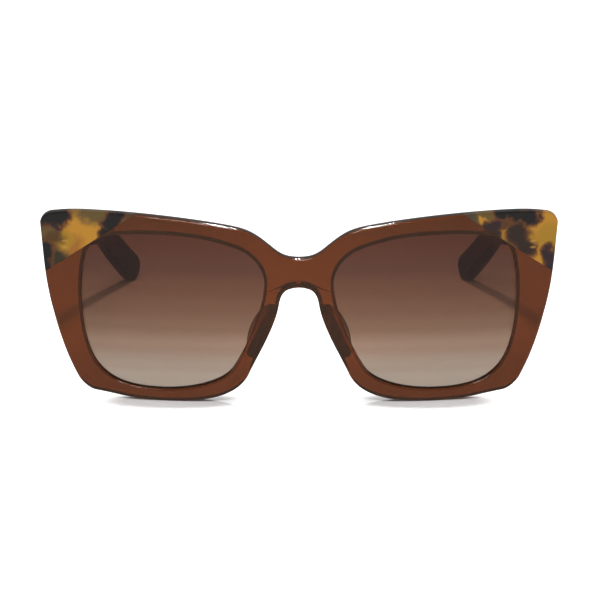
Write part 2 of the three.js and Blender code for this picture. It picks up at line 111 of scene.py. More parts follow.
def add(tree, kind, settings=None, **inputs):
    """Adds a node. Inputs are values or the sockets of other nodes, named or numbered as in0."""
    node = tree.nodes.new(kind)
    for name, value in (settings or {}).items():
        setattr(node, name, value)
    for name, value in inputs.items():
        key = int(name[2:]) if name[:2] == "in" and name[2:].isdigit() else name.replace("_", " ")
        if isinstance(value, bpy.types.NodeSocket):
            tree.links.new(value, node.inputs[key])
        else:
            node.inputs[key].default_value = value
    return node


def new_material(name):
    material = bpy.data.materials.new(name)
    material.use_nodes = True
    material.node_tree.nodes.clear()
    return material, material.node_tree


# %% [markdown]
# ## Floor, backdrop and light
# The pair stands on a white sweep. The camera sees plain white, apart from an oval round each
# rim's foot, where the real light and shade are left so that the contact shadow stays. What is
# seen through the lenses is almost all real shade, because the temples' shadows show there.
# Mirror reflections see a greyer studio: a polished dark front would look milky without it.
# Behind the pair the paper is painted greyer, a painted shade that evens out the close key lamp's pool
# of light.

# %% The white sweep and the studio
WHITE = (1, 1, 1, 1)
FLOOR_SIZE = 6.0
floor_mesh = bmesh.new()
bmesh.ops.create_grid(floor_mesh, x_segments=1, y_segments=1, size=FLOOR_SIZE / 2)
floor_data = bpy.data.meshes.new("floor")
floor_mesh.to_mesh(floor_data)
floor_mesh.free()
floor = bpy.data.objects.new("floor", floor_data)
bpy.context.scene.collection.objects.link(floor)

OPEN_GLOW = 1.0         # plain white of the open floor, as the camera sees it
FOOT_GLOW = 0.0         # the same close to the rims' feet, where the contact shadow lies
THROUGH_GLOW = 0.03     # plain white in what is seen through a lens or the acetate
MIRROR_LEVEL = 0.38     # the sweep as a polished surface mirrors it
# the grey paper behind is painted shade: it cancels the brighter pool of light from the close key lamp
PAPER_FRONT = (0.95, 0.95, 0.95, 1)
PAPER_BEHIND_SHADED = (0.64, 0.64, 0.64, 1)
FOOT_PLACE = (35 * MM, cad_low.y + 2 * MM)
FOOT_REACH = (28 * MM, 10 * MM)
PAPER_SHADE_TURNS = (-70 * MM, 90 * MM)       # the paper greys from the front to behind the tips


def mirror_rays(tree, rays):
    """1 for a ray that was mirrored and 0 for one that went through something clear."""
    split = add(tree, "ShaderNodeMath", {"operation": "SUBTRACT", "use_clamp": True},
                in0=rays.outputs["Is Glossy Ray"], in1=rays.outputs["Is Transmission Ray"])
    return split.outputs[0]


def blend(tree, amount, low, high):
    """The value low where amount is 0 and high where it is 1; either may be a socket."""
    mix = add(tree, "ShaderNodeMix", {"data_type": "FLOAT"}, in0=amount, in2=low, in3=high)
    return mix.outputs[0]


sweep, tree = new_material("white_paper_sweep")
rays = add(tree, "ShaderNodeLightPath")
spot = add(tree, "ShaderNodeTexCoord").outputs["Object"]
depth = add(tree, "ShaderNodeSeparateXYZ", Vector=spot).outputs["Y"]
# painted shade: the paper's colour greys towards the back to even out the key lamp's pool of light
behind = add(tree, "ShaderNodeMapRange", {"interpolation_type": "SMOOTHSTEP"}, Value=depth,
             From_Min=PAPER_SHADE_TURNS[0], From_Max=PAPER_SHADE_TURNS[1])
paper_painted_shade = add(tree, "ShaderNodeMix", {"data_type": "RGBA"}, in0=behind.outputs[0],
           in6=PAPER_FRONT, in7=PAPER_BEHIND_SHADED)
sideways = add(tree, "ShaderNodeSeparateXYZ", Vector=spot).outputs["X"]
sideways = add(tree, "ShaderNodeMath", {"operation": "ABSOLUTE"}, in0=sideways)
spot = add(tree, "ShaderNodeCombineXYZ", X=sideways.outputs[0], Y=depth)
away = add(tree, "ShaderNodeVectorMath", {"operation": "SUBTRACT"}, in0=spot.outputs[0],
           in1=(*FOOT_PLACE, 0))
away = add(tree, "ShaderNodeVectorMath", {"operation": "MULTIPLY"}, in0=away.outputs[0],
           in1=(1 / FOOT_REACH[0], 1 / FOOT_REACH[1], 0))
away = add(tree, "ShaderNodeVectorMath", {"operation": "LENGTH"}, in0=away.outputs[0])
near_feet = add(tree, "ShaderNodeMapRange", {"interpolation_type": "SMOOTHSTEP"},
                Value=away.outputs["Value"], From_Min=1.0, From_Max=0.5)
camera_glow = blend(tree, near_feet.outputs[0], OPEN_GLOW, FOOT_GLOW)
other_glow = blend(tree, mirror_rays(tree, rays), 0.0, MIRROR_LEVEL)
other_glow = blend(tree, rays.outputs["Is Transmission Ray"], other_glow, THROUGH_GLOW)
glow_level = blend(tree, rays.outputs["Is Camera Ray"], other_glow, camera_glow)
shaded = blend(tree, mirror_rays(tree, rays), 1.0, 0.0)
paper = add(tree, "ShaderNodeBsdfDiffuse", Color=paper_painted_shade.outputs[2])
nothing = add(tree, "ShaderNodeBsdfDiffuse", Color=(0, 0, 0, 1))
lit = add(tree, "ShaderNodeMixShader", in0=shaded, in1=nothing.outputs[0], in2=paper.outputs[0])
glow = add(tree, "ShaderNodeEmission", Color=WHITE, Strength=glow_level)
whole = add(tree, "ShaderNodeAddShader", in0=lit.outputs[0], in1=glow.outputs[0])
add(tree, "ShaderNodeOutputMaterial", Surface=whole.outputs[0])
floor_data.materials.append(sweep)

SKY_LIGHT = 0.32        # what lights the object and the floor
SKY_MIRROR = 0.18       # what polished surfaces mirror
SKY_THROUGH = 0.04      # what light bent upwards inside the acetate meets: a dark studio
world = bpy.data.worlds.new("studio")
world.use_nodes = True
bpy.context.scene.world = world
tree = world.node_tree
tree.nodes.clear()
rays = add(tree, "ShaderNodeLightPath")
sky_level = blend(tree, mirror_rays(tree, rays), SKY_LIGHT, SKY_MIRROR)
sky_level = blend(tree, rays.outputs["Is Transmission Ray"], sky_level, SKY_THROUGH)
sky_level = blend(tree, rays.outputs["Is Camera Ray"], sky_level, 1.0)
sky = add(tree, "ShaderNodeBackground", Color=WHITE, Strength=sky_level)
add(tree, "ShaderNodeOutputWorld", Surface=sky.outputs[0])


def softbox(name, place, target, size, watts):
    lamp = bpy.data.lights.new(name, "AREA")
    lamp.shape = "DISK"
    lamp.size = size
    lamp.energy = watts
    holder = bpy.data.objects.new(name, lamp)
    holder.location = place
    holder.rotation_euler = (Vector(target) - Vector(place)).to_track_quat("-Z", "Y").to_euler()
    bpy.context.scene.collection.objects.link(holder)
    return holder


# place, target and size in metres, then watts
KEY_BEHIND = ((0, 0.156, 0.167), (0, -1.0, 0.1), 0.03, 0.55)
FILL_FRONT = ((-0.1, -0.95, 0.95), (0, 0, 0.02), 0.5, 9.0)
softbox("key_behind", *KEY_BEHIND)
softbox("fill_front", *FILL_FRONT)
print("two softboxes, a studio sky and a floor")

# %% [markdown]
# ## Brown crystal acetate
# Cellulose acetate sheet is dyed right through and tumbled for days in wood chips, so it has a
# deep wet gloss and light passes through it. Most of the colour comes from absorption on the
# way through the 4 mm sheet, which is what darkens the parts that lie behind one another.
# A faint cloudiness and tumbling marks keep it from looking like glass.

# %% Material: brown acetate
ACETATE_IOR = 1.48
SHEET = 4.0             # sheet thickness in mm


def absorption(hex_code, thickness):
    """Absorption colour and density that leave the given colour after that many mm."""
    passed = colour(hex_code)[:3]
    decay = [-math.log(c) / (thickness * MM) for c in passed]
    density = max(decay)
    return (*[1 - d / density for d in decay], 1), density


def polish(tree, coordinates, low, high, ripple):
    """Roughness and bump of a tumbled surface: soft marks about 2 mm across."""
    marks = add(tree, "ShaderNodeTexNoise", Vector=coordinates, Scale=1 / (2 * MM), Detail=4)
    rough = add(tree, "ShaderNodeMapRange", Value=marks.outputs["Fac"], To_Min=low, To_Max=high)
    waves = add(tree, "ShaderNodeTexNoise", Vector=coordinates, Scale=1 / (9 * MM), Detail=1)
    bump = add(tree, "ShaderNodeBump", Height=waves.outputs["Fac"], Strength=ripple,
               Distance=0.2 * MM)
    return rough.outputs[0], bump.outputs[0]


def crystal_acetate(name, tint, passed, thickness, cloud):
    material, tree = new_material(name)
    place = add(tree, "ShaderNodeTexCoord").outputs["Object"]
    rough, bump = polish(tree, place, 0.03, 0.09, 0.15)
    flow = add(tree, "ShaderNodeTexNoise", Vector=place, Scale=1 / (14 * MM), Detail=3)
    base = add(tree, "ShaderNodeMix", {"data_type": "RGBA"}, in0=flow.outputs["Fac"],
               in6=colour(tint[0]), in7=colour(tint[1]))
    clear = add(tree, "ShaderNodeMapRange", Value=flow.outputs["Fac"],
                To_Min=1 - cloud, To_Max=1 - cloud * 0.7)
    shell = add(tree, "ShaderNodeBsdfPrincipled", Base_Color=base.outputs[2], Roughness=rough,
                Transmission_Weight=clear.outputs[0], Normal=bump, IOR=ACETATE_IOR)
    shade, density = absorption(passed, thickness)
    dye = add(tree, "ShaderNodeVolumeAbsorption", Color=shade, Density=density)
    add(tree, "ShaderNodeOutputMaterial", Surface=shell.outputs[0], Volume=dye.outputs[0])
    return material


BROWN_TINT = ("#CC8C5B", "#C18455")
BROWN_DYE = "#8F6032"
PAD_TINT = ("#E6CDBA", "#DCC0AC")
PAD_DYE = "#C9A892"
brown_acetate = crystal_acetate("brown_crystal_acetate", BROWN_TINT, BROWN_DYE, SHEET, 0.08)
pad_acetate = crystal_acetate("pad_crystal_acetate", PAD_TINT, PAD_DYE, SHEET, 0.04)
print("brown acetate lets", BROWN_DYE, "through", SHEET, "mm")

# %% [markdown]
# ## Tortoise acetate
# The corner inlays are cut from a block in which chips of amber, olive and near black acetate
# were pressed together, so the patches run right through and their edges bleed softly.
# Each patch is a soft round spot in the front's own plane. The spots lie on coordinates that
# noise has pushed about, so their edges wander as the pressed chips do.

# %% Material: tortoise acetate
AMBER = "#CE9233"
GOLD = "#B98A2C"
ORANGE = "#AE722F"
OLIVE = "#6E5A34"
BROWN = "#5E4222"
GREY_OLIVE = "#55493A"
BLACK = "#242120"
PURPLE = "#3A2A2C"
FRINGE = "#6E4226"      # reddish bleed round a dark chip
DARK_OLIVE = "#3B3727"
UMBER = "#392A22"

# Each patch: distance from the middle plane, height, radius in mm, and colour.
right_patches = [
    (60.0, 48.6, 6.6, AMBER), (57.4, 46.4, 4.6, AMBER), (64.4, 43.0, 4.2, ORANGE),
    (66.2, 45.6, 2.8, GOLD), (59.0, 55.0, 4.0, OLIVE), (56.0, 54.2, 3.0, OLIVE),
    (70.2, 47.2, 3.6, BROWN), (71.6, 49.4, 2.8, OLIVE), (67.6, 39.6, 3.6, DARK_OLIVE),
    (48.0, 54.6, 3.0, GREY_OLIVE), (68.3, 49.4, 1.3, PURPLE), (70.0, 53.8, 4.4, BLACK),
    (67.2, 53.0, 2.4, BLACK), (51.2, 52.8, 2.5, BLACK), (52.6, 50.8, 2.3, BLACK),
    (54.6, 48.2, 1.7, BLACK), (72.8, 42.4, 2.9, BLACK), (72.4, 38.4, 2.8, BLACK),
]
left_patches = [
    (70.4, 50.6, 6.6, AMBER), (70.6, 45.6, 4.6, GOLD), (66.8, 41.2, 3.2, AMBER),
    (49.0, 54.2, 4.0, OLIVE), (47.6, 53.6, 2.2, GREY_OLIVE), (51.4, 52.0, 1.3, AMBER),
    (58.0, 48.9, 2.0, AMBER), (57.6, 51.6, 2.2, BROWN), (57.0, 54.8, 2.4, BLACK),
    (60.8, 54.0, 2.5, BLACK), (64.8, 53.2, 2.6, BLACK), (54.2, 50.4, 2.3, PURPLE),
    (54.8, 48.0, 1.9, UMBER), (61.4, 48.2, 2.9, UMBER), (63.4, 44.2, 3.0, UMBER),
    (70.9, 41.2, 2.6, PURPLE), (71.6, 38.0, 2.6, PURPLE),
]
DARK_SHADES = (BLACK, PURPLE, UMBER)
ANCHOR_BARS = ((65.9, 45.7), (65.9, 43.9))
BAR_RATIO = 2.4         # a bar is this much longer than high
BAR_GOLD = "#C9A04A"
WANDER = 7              # how far the noise pushes an edge about, in mm
# where a patch's edge begins and ends, as shares of its radius
CHIP_EDGE = (1.4, 0.62)
FRINGE_EDGE = (1.6, 0.9)
DARK_EDGE = (1.25, 0.64)


def over(tree, amount, below, above):
    """Lays one colour over another."""
    mix = add(tree, "ShaderNodeMix", {"data_type": "RGBA"}, in0=amount, in6=below, in7=above)
    return mix.outputs[2]


def tortoise_acetate(name, patches, side, ground):
    material, tree = new_material(name)
    place = add(tree, "ShaderNodeTexCoord").outputs["Object"]
    flat = add(tree, "ShaderNodeVectorMath", {"operation": "MULTIPLY"},
               in0=place, in1=(side / MM, 0, 1 / MM))
    wander = add(tree, "ShaderNodeTexNoise", Vector=flat.outputs[0], Scale=0.2, Detail=3,
                 Roughness=0.6)
    centred = add(tree, "ShaderNodeVectorMath", {"operation": "SUBTRACT"},
                  in0=wander.outputs["Color"], in1=(0.5, 0.5, 0.5))
    pushed = add(tree, "ShaderNodeVectorMath", {"operation": "MULTIPLY_ADD"},
                 in0=centred.outputs[0], in1=(WANDER, 0, WANDER), in2=flat.outputs[0])
    dark = [patch for patch in patches if patch[3] in DARK_SHADES]
    layers = [(*patch, *CHIP_EDGE) for patch in patches if patch not in dark]
    layers += [(*patch[:3], FRINGE, *FRINGE_EDGE) for patch in dark]
    layers += [(*patch, *DARK_EDGE) for patch in dark]
    laid = colour(ground)
    for across, up, radius, shade, outer, inner in layers:
        away = add(tree, "ShaderNodeVectorMath", {"operation": "DISTANCE"},
                   in0=pushed.outputs[0], in1=(across, 0, up))
        spot = add(tree, "ShaderNodeMapRange", {"interpolation_type": "SMOOTHSTEP"},
                   Value=away.outputs["Value"], From_Min=radius * outer, From_Max=radius * inner)
        laid = over(tree, spot.outputs[0], laid, colour(shade))
    for across, up in ANCHOR_BARS:
        away = add(tree, "ShaderNodeVectorMath", {"operation": "SUBTRACT"},
                   in0=flat.outputs[0], in1=(across, 0, up))
        away = add(tree, "ShaderNodeVectorMath", {"operation": "MULTIPLY"},
                   in0=away.outputs[0], in1=(1, 0, BAR_RATIO))
        away = add(tree, "ShaderNodeVectorMath", {"operation": "LENGTH"}, in0=away.outputs[0])
        glint = add(tree, "ShaderNodeMapRange", Value=away.outputs["Value"],
                    From_Min=1.1, From_Max=0.6, To_Max=0.55)
        laid = over(tree, glint.outputs[0], laid, colour(BAR_GOLD))
    rough, bump = polish(tree, place, 0.03, 0.09, 0.12)
    shell = add(tree, "ShaderNodeBsdfPrincipled", Base_Color=laid, Roughness=rough, Normal=bump,
                IOR=ACETATE_IOR, Transmission_Weight=0.15)
    add(tree, "ShaderNodeOutputMaterial", Surface=shell.outputs[0])
    return material


tortoise = {
    1: tortoise_acetate("tortoise_acetate_left", left_patches, 1, "#7A5E30"),
    -1: tortoise_acetate("tortoise_acetate_right", right_patches, -1, "#84622E"),
}
print("tortoise patches:", len(left_patches), "left,", len(right_patches), "right")

# %% [markdown]
# ## Gradient lenses
# A sun lens is cast clear and then dipped in dye, slowly lowered so the top takes most of it.
# The tint is a colour ramp up the lens. It is clear plastic, so nothing but the tint and the
# polish are set. The V edge is ground and matt, and it is painted near black: painted shade
# for the dark line where the edge sits in the rim's groove.

# %% Material: gradient tinted lens
LENS_IOR = 1.5
# height in mm and the colour left of white light there
tint_stops = [
    (7.0, "#C9B9A9"), (10.0, "#C2AD9B"), (15.8, "#A58773"), (21.6, "#866652"),
    (27.4, "#7B5744"), (33.2, "#724C3A"), (39.0, "#664134"), (46.0, "#683C2C"),
]
gradient_lens, tree = new_material("dip_tinted_lens")
place = add(tree, "ShaderNodeTexCoord").outputs["Object"]
height = add(tree, "ShaderNodeSeparateXYZ", Vector=place)
lowest, highest = tint_stops[0][0] * MM, tint_stops[-1][0] * MM
rise = add(tree, "ShaderNodeMapRange", Value=height.outputs["Z"],
           From_Min=lowest, From_Max=highest)
ramp = add(tree, "ShaderNodeValToRGB", Fac=rise.outputs[0])
ramp.color_ramp.interpolation = "EASE"
while len(ramp.color_ramp.elements) < len(tint_stops):
    ramp.color_ramp.elements.new(0.5)
for element, (stop, shade) in zip(ramp.color_ramp.elements, tint_stops):
    element.position = (stop * MM - lowest) / (highest - lowest)
    element.color = colour(shade)
haze = add(tree, "ShaderNodeTexNoise", Vector=place, Scale=1 / (25 * MM), Detail=2)
gloss = add(tree, "ShaderNodeMapRange", Value=haze.outputs["Fac"], To_Min=0.0, To_Max=0.02)
pane = add(tree, "ShaderNodeBsdfPrincipled", Base_Color=ramp.outputs[0],
           Roughness=gloss.outputs[0], Transmission_Weight=1.0, IOR=LENS_IOR)
add(tree, "ShaderNodeOutputMaterial", Surface=pane.outputs[0])
print("lens tint has", len(tint_stops), "stops")

shaded_ground_edge, tree = new_material("ground_lens_edge_painted_shade")
place = add(tree, "ShaderNodeTexCoord").outputs["Object"]
grit = add(tree, "ShaderNodeTexNoise", Vector=place, Scale=1 / (0.4 * MM), Detail=3)
# painted shade: the ground edge is coloured near black for the dark line in the groove; the grit is
# real grinding
painted_edge_shade = add(tree, "ShaderNodeMix", {"data_type": "RGBA"}, in0=grit.outputs["Fac"],
           in6=colour("#1E1815"), in7=colour("#2E2420"))
edge = add(tree, "ShaderNodeBsdfPrincipled", Base_Color=painted_edge_shade.outputs[2], Roughness=0.6,
           IOR=LENS_IOR)
add(tree, "ShaderNodeOutputMaterial", Surface=edge.outputs[0])

# %% [markdown]
# ## Dark acetate, plated hinges and steel
# The temples are milled from a brown so dark that only its edges show colour. The hinges are
# nickel silver with a pale gold flash, tumbled with the frame, so they have a soft shine with
# fine marks. The screw is turned steel with rings round its head.

# %% Materials: temples and metal
def dark_acetate_material():
    material, tree = new_material("dark_brown_acetate")
    place = add(tree, "ShaderNodeTexCoord").outputs["Object"]
    rough, bump = polish(tree, place, 0.06, 0.14, 0.15)
    flow = add(tree, "ShaderNodeTexNoise", Vector=place, Scale=1 / (18 * MM), Detail=3)
    base = add(tree, "ShaderNodeMix", {"data_type": "RGBA"}, in0=flow.outputs["Fac"],
               in6=colour("#3E332E"), in7=colour("#54423A"))
    shell = add(tree, "ShaderNodeBsdfPrincipled", Base_Color=base.outputs[2], Roughness=rough,
                Normal=bump, IOR=ACETATE_IOR)
    add(tree, "ShaderNodeOutputMaterial", Surface=shell.outputs[0])
    return material


def metal_material(name, light, dark, grain, low, high):
    """A metal with marks of the given size in mm and roughness between low and high."""
    material, tree = new_material(name)
    place = add(tree, "ShaderNodeTexCoord").outputs["Object"]
    marks = add(tree, "ShaderNodeTexNoise", Vector=place, Scale=1 / (grain * MM), Detail=5)
    base = add(tree, "ShaderNodeMix", {"data_type": "RGBA"}, in0=marks.outputs["Fac"],
               in6=colour(dark), in7=colour(light))
    rough = add(tree, "ShaderNodeMapRange", Value=marks.outputs["Fac"], To_Min=low, To_Max=high)
    bump = add(tree, "ShaderNodeBump", Height=marks.outputs["Fac"], Strength=0.2,
               Distance=0.02 * MM)
    shell = add(tree, "ShaderNodeBsdfPrincipled", Base_Color=base.outputs[2], Metallic=1.0,
                Roughness=rough.outputs[0], Normal=bump.outputs[0])
    add(tree, "ShaderNodeOutputMaterial", Surface=shell.outputs[0])
    return material


dark_acetate = dark_acetate_material()
hinge_gold = metal_material("plated_nickel_silver", "#D9C08C", "#BFA46C", 0.5, 0.18, 0.34)
screw_steel = metal_material("turned_steel", "#CFCDC8", "#A9A7A2", 0.3, 0.2, 0.35)
core_wire = metal_material("drawn_nickel_silver", "#B9B7B0", "#96948E", 0.8, 0.25, 0.4)
print("dark acetate and three metals")

# %% [markdown]
# ## From rings to a solid
# Every acetate piece here is a ring of points carried along and shaped: the rim's section is
# carried round the lens, the temple's outline is carried along its length. So one function
# starts from a loop of a few vertices and extrudes it again and again, moving each new ring
# into place, and then bridges the last ring to the first or closes both ends.

# %% Helpers for meshes
def mesh_from_rings(rings, closed):
    """A bmesh whose loop is extruded from ring to ring; each ring is a list of points."""
    bm = bmesh.new()
    loop = [bm.verts.new(point) for point in rings[0]]
    edges = [bm.edges.new((loop[i - 1], loop[i])) for i in range(len(loop))]
    first_edges = edges
    for ring in rings[1:]:
        out = bmesh.ops.extrude_edge_only(bm, edges=edges)
        fresh = {v for v in out["geom"] if isinstance(v, bmesh.types.BMVert)}
        following = []
        for vert, point in zip(loop, ring):
            twin = next(e.other_vert(vert) for e in vert.link_edges if e.other_vert(vert) in fresh)
            twin.co = point
            following.append(twin)
        loop = following
        edges = [bm.edges.get((loop[i - 1], loop[i])) for i in range(len(loop))]
    if closed:
        bmesh.ops.bridge_loops(bm, edges=first_edges + edges)
    else:
        bmesh.ops.holes_fill(bm, edges=first_edges, sides=0)
        bmesh.ops.holes_fill(bm, edges=edges, sides=0)
    return bm


def mirrored(bm):
    """The same piece for the other side of the face."""
    twin = bm.copy()
    bmesh.ops.scale(twin, vec=(-1, 1, 1), verts=twin.verts)
    bmesh.ops.reverse_faces(twin, faces=twin.faces)
    return twin


def make_piece(bm, name, material, body, nodes, sharp=38):
    """Turns a bmesh in metres into a piece that rides on a body and stands for CAD nodes."""
    bmesh.ops.recalc_face_normals(bm, faces=bm.faces)
    data = bpy.data.meshes.new(name)
    bm.to_mesh(data)
    bm.free()
    data.materials.append(material)
    data.polygons.foreach_set("use_smooth", [True] * len(data.polygons))
    data.set_sharp_from_angle(angle=math.radians(sharp))
    piece = bpy.data.objects.new(name, data)
    bpy.context.scene.collection.objects.link(piece)
    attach(piece, body)
    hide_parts(*nodes)
    print(name, "has", len(data.polygons), "faces")
    return piece


def heading(degrees, length):
    return Vector((math.cos(math.radians(degrees)), math.sin(math.radians(degrees)))) * length


def smooth_line(knots, counts, closed):
    """Points on a smooth line. A knot is x, z, heading, and its handles before and after."""
    points = []
    following = knots[1:] + (knots[:1] if closed else [])
    for start, end, count in zip(knots, following, counts):
        a, b = Vector(start[:2]), Vector(end[:2])
        out_handle = a + heading(start[2], start[4])
        in_handle = b - heading(end[2], end[3])
        points += interpolate_bezier(a, out_handle, in_handle, b, count + 1)[:-1]
    return points if closed else points + [Vector(knots[-1][:2])]


# %% [markdown]
# ## The outline of the front
# The lens opening is a box with soft corners, and the outer line is drawn round it: a dip at
# the bridge, a long rising brow, a winged corner and a narrow lower corner. Both lines are
# drawn for one eye, as smooth curves through a few knots that are placed from the lens's box.

# %% Draw the lens opening and the outer line
GROOVE_DEPTH = 0.8
lens_low, lens_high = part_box("lens_left")
INNER = lens_low.x / MM + GROOVE_DEPTH
OUTER = lens_high.x / MM - GROOVE_DEPTH
BOTTOM = lens_low.z / MM + GROOVE_DEPTH
TOP = lens_high.z / MM - GROOVE_DEPTH
WIDTH = OUTER - INNER
HEIGHT = TOP - BOTTOM
BROW = cad_high.z / MM
WING = cad_high.x / MM


def across(share):
    return INNER + share * WIDTH


def up(share):
    return BOTTOM + share * HEIGHT


opening_knots = [
    (across(0.627), TOP, 0, 11.2, 8.3),
    (OUTER - 1.2, up(0.856), -76.4, 5.9, 3.3),
    (OUTER, up(0.596), -90, 5.5, 5.4),
    (across(0.907), up(0.137), -130, 6.4, 6.1),
    (across(0.55), BOTTOM, -180, 9.1, 7.1),
    (across(0.168), up(0.15), -237.4, 5.7, 7.7),
    (INNER, up(0.698), -270, 7.5, 4.7),
    (across(0.154), TOP - 3.6, -340.2, 4.5, 7.6),
]
outer_knots = [
    (0, up(0.856), 0, 0, 4.7),
    (INNER - 0.8, up(0.945), 38.5, 4.0, 4.3),
    (across(0.178), BROW - 3.6, 10.4, 4.8, 12.3),
    (across(0.973), BROW, 0, 12.3, 4.9),
    (WING - 3.5, BROW - 0.7, -7, 2.6, 2.2),
    (WING, BROW - 4.0, -95, 1.5, 8.2),
    (OUTER + 8.4, up(0.501), -104, 9.2, 7.8),
    (OUTER + 1.4, up(0.064), -117.6, 7.7, 1.8),
    (OUTER - 3.5, BOTTOM - 1.0, -172, 1.8, 7.9),
    (across(0.527), 0, -180, 10.3, 8.6),
    (INNER + 4.5, up(0.109), -244.9, 8.1, 4.7),
    (INNER - 4.2, up(0.559), -261, 6.7, 2.9),
    (0, up(0.67), -180, 4.2, 0),
]
OUTER_COUNTS = (10, 10, 22, 8, 10, 20, 16, 8, 16, 20, 18, 12)
eye = Vector((across(0.5), up(0.5)))
fine_opening = smooth_line(opening_knots, [40] * 8, True)
outer_line = smooth_line(outer_knots, OUTER_COUNTS, False)

# the middle plane closes one eye's line, where the two halves will meet
BRIDGE_STEPS = 5
bridge_low, bridge_high = outer_line[-1].y, outer_line[0].y
middle_line = [
    Vector((0, bridge_low + (bridge_high - bridge_low) * i / BRIDGE_STEPS))
    for i in range(1, BRIDGE_STEPS)
]
outer_loop = outer_line + middle_line
print("outer loop:", len(outer_loop), "points; eye centre", [round(v, 1) for v in eye])

# %% [markdown]
# ## Matching the two lines
# The rim is a band between two loops with the same number of points. Each outer point gets
# the opening's point that lies on the same ray from the middle of the eye, so the faces
# between them run straight across the rim.

# %% Pair the points and find which way is out
angles = np.array([math.atan2(p.y - eye.y, p.x - eye.x) for p in fine_opening])
reaches = np.array([(p - eye).length for p in fine_opening])
order = np.argsort(angles)


def opening_point(angle):
    reach = np.interp(angle, angles[order], reaches[order], period=2 * math.pi)
    return eye + Vector((math.cos(angle), math.sin(angle))) * float(reach)


def opening_out(angle):
    """The direction out of the opening, square to its edge."""
    along = opening_point(angle - 0.01) - opening_point(angle + 0.01)
    return Vector((-along.y, along.x)).normalized()


rays_out = [math.atan2(p.y - eye.y, p.x - eye.x) for p in outer_loop]
edge_points = [opening_point(a) for a in rays_out]
edge_out = [opening_out(a) for a in rays_out]
inward = []
for i, point in enumerate(outer_line):
    along = outer_line[min(i + 1, len(outer_line) - 1)] - outer_line[max(i - 1, 0)]
    if i in (0, len(outer_line) - 1):
        along.y = 0         # both halves meet without a kink
    inward.append(Vector((along.y, -along.x)).normalized())
inward += [Vector((0, 0))] * len(middle_line)

# %% [markdown]
# ## The rim's section
# Cut through, the rim is a flat bar with rounded edges and a V groove for the lens. The section
# is walked round once: front face, outer edge, back face, opening edge and the groove. Each
# step gives one ring, as a distance from one of the two lines and a depth from the front.
# Along the nose and under the bridge the edge is cut at a slant, so the back sits easier.

# %% Rings of the section
THICKNESS = 4.0
OUTER_ROUND = 0.5
OPENING_ROUND = 0.35
NOSE_SLANT = 1.0        # how much further back the nose side is cut away behind
LENS_THICKNESS = 1.8
SPRING_GAP = 0.04       # between the lens's edge and its groove
LIP = (THICKNESS - LENS_THICKNESS) / 2 - SPRING_GAP
ROUND_STEPS = 4
quarter = [math.pi / 2 * i / ROUND_STEPS for i in range(ROUND_STEPS + 1)]


def from_opening(offset, depth):
    return [(*(p + n * offset), depth) for p, n in zip(edge_points, edge_out)]


SLANT_EASE = 6          # points over which the slant sets in
nose_start = sum(OUTER_COUNTS[:-2])
nose_share = [min(max((i - nose_start) / SLANT_EASE, 0), 1) for i in range(len(outer_loop))]


def from_outside(inset, depth):
    slant = [NOSE_SLANT * share * depth / THICKNESS for share in nose_share]
    return [(*(p + n * (inset + s)), depth) for p, n, s in zip(outer_loop, inward, slant)]


def between(share, depth):
    inner = [p + n * OPENING_ROUND for p, n in zip(edge_points, edge_out)]
    outer = [Vector(p[:2]) for p in from_outside(OUTER_ROUND, depth)]
    return [(*a.lerp(b, share), depth) for a, b in zip(inner, outer)]


def rounded(line, radius, depth_of, turns):
    """The rings of one rounded edge."""
    return [line(radius * (1 - math.cos(t)), depth_of(radius * (1 - math.sin(t)))) for t in turns]


FACE_SHARES = (0.03, 0.35, 0.65, 0.97)
section = rounded(from_opening, OPENING_ROUND, lambda d: d, quarter)
section += [between(s, 0) for s in FACE_SHARES]
section += rounded(from_outside, OUTER_ROUND, lambda d: d, quarter[::-1])
section += rounded(from_outside, OUTER_ROUND, lambda d: THICKNESS - d, quarter)
section += [between(s, THICKNESS) for s in FACE_SHARES[::-1]]
section += rounded(from_opening, OPENING_ROUND, lambda d: THICKNESS - d, quarter[::-1])
section += [from_opening(0, THICKNESS - LIP)]
section += [from_opening(GROOVE_DEPTH + SPRING_GAP, THICKNESS / 2)]
section += [from_opening(0, LIP)]
rings = [[(x, depth, z) for x, z, depth in ring] for ring in section]
half_rim = mesh_from_rings(rings, True)
closing = [f for f in half_rim.faces if all(abs(v.co.x) < 1e-4 for v in f.verts)]
bmesh.ops.delete(half_rim, geom=closing, context="FACES")
print("rim section:", len(rings), "rings,", len(closing), "faces opened at the middle")

# %% [markdown]
# ## Cutting in the corner inlay
# On the bench the brown sheet and the tortoise sheet are each cut along a straight seam and
# glued edge to edge before the front is milled. The same cut is a plane through the finished
# rim: one copy keeps the corner, the other keeps the rest. Then both are bent round the face,
# as the milled front is pressed over a warm form.

# %% Split along the seam and bend round the face
FACE_RADIUS = 320
SEAM_GAP = 0.02
seam_start = Vector((OUTER - 16.0, 0, BROW))
seam_end = Vector((WING, 0, TOP - 12.7))
seam_along = (seam_end - seam_start).normalized()
seam_out = Vector((-seam_along.z, 0, seam_along.x))


def cut_at_seam(bm, keep_corner):
    """Keeps one side of the seam and closes the cut."""
    side = 1 if keep_corner else -1
    point = seam_start + seam_out * side * SEAM_GAP / 2
    geometry = bm.verts[:] + bm.edges[:] + bm.faces[:]
    cut = bmesh.ops.bisect_plane(bm, geom=geometry, dist=1e-5, plane_co=point, plane_no=seam_out,
                                 clear_inner=keep_corner, clear_outer=not keep_corner)
    rim_of_cut = [e for e in cut["geom_cut"] if isinstance(e, bmesh.types.BMEdge)]
    filled = bmesh.ops.holes_fill(bm, edges=rim_of_cut, sides=0)
    bmesh.ops.triangulate(bm, faces=filled["faces"])
    return bm


def bend_round_face(bm):
    """Depth becomes distance behind the curved outer skin, and millimetres become metres."""
    for vert in bm.verts:
        x, depth, z = vert.co
        y = FACE_RADIUS - math.sqrt((FACE_RADIUS - depth) ** 2 - x * x)
        vert.co = Vector((x * MM, cad_low.y + y * MM, z * MM))
    return bm


